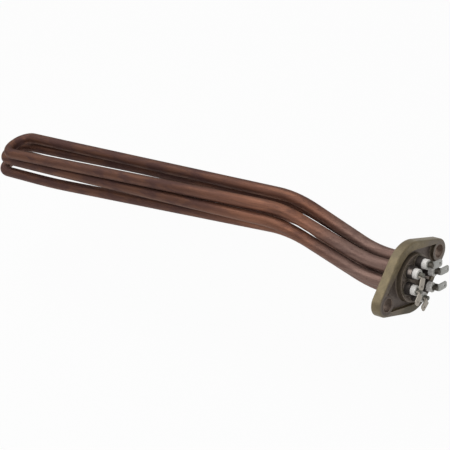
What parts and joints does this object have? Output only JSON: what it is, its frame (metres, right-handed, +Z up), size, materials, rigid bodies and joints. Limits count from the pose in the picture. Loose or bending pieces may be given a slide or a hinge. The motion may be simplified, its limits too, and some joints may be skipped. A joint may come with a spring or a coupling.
{
  "type": "flanged tubular heating element",
  "caption": "Copper-sheathed tubular heating element: stacked hairpin loops with an offset bend, brazed into an oval brass flange, with ceramic beads and bent spade tabs.",
  "frame": {"origin": "centre of the flange's sealing face, midway between the two bolt holes", "axes": "+X out of the flange to the terminals, the loops run to -X; Y through the two bolt holes; +Z up, the side to which the offset bend lifts the loops"},
  "size_m": [0.4319, 0.0764, 0.0651],
  "materials": {
    "brass": "forged, tarnished",
    "copper": "oxidised copper",
    "brazing_metal": "brazed, dull",
    "ceramic": "unglazed steatite",
    "magnesia": "packed powder",
    "nickel_chromium": "oxidised wire",
    "pin_steel": "heat-darkened steel",
    "tab_steel": "nickel-plated steel"
  },
  "bodies": {
    "root": {"flange": "brass", "upper_sheath": "copper", "upper_magnesia_fill": "magnesia", "upper_resistance_coil": "nickel_chromium", "upper_left_pin": "pin_steel", "upper_left_bead": "ceramic", "upper_left_tab": "tab_steel", "upper_right_pin": "pin_steel", "upper_right_bead": "ceramic", "upper_right_tab": "tab_steel", "middle_sheath": "copper", "middle_magnesia_fill": "magnesia", "middle_resistance_coil": "nickel_chromium", "middle_left_pin": "pin_steel", "middle_left_bead": "ceramic", "middle_left_tab": "tab_steel", "middle_right_pin": "pin_steel", "middle_right_bead": "ceramic", "middle_right_tab": "tab_steel", "lower_sheath": "copper", "lower_magnesia_fill": "magnesia", "lower_resistance_coil": "nickel_chromium", "lower_left_pin": "pin_steel", "lower_left_bead": "ceramic", "lower_left_tab": "tab_steel", "lower_right_pin": "pin_steel", "lower_right_bead": "ceramic", "lower_right_tab": "tab_steel", "terminal_side_brazing": "brazing_metal", "tube_side_brazing": "brazing_metal"}
  },
  "joints": []
}
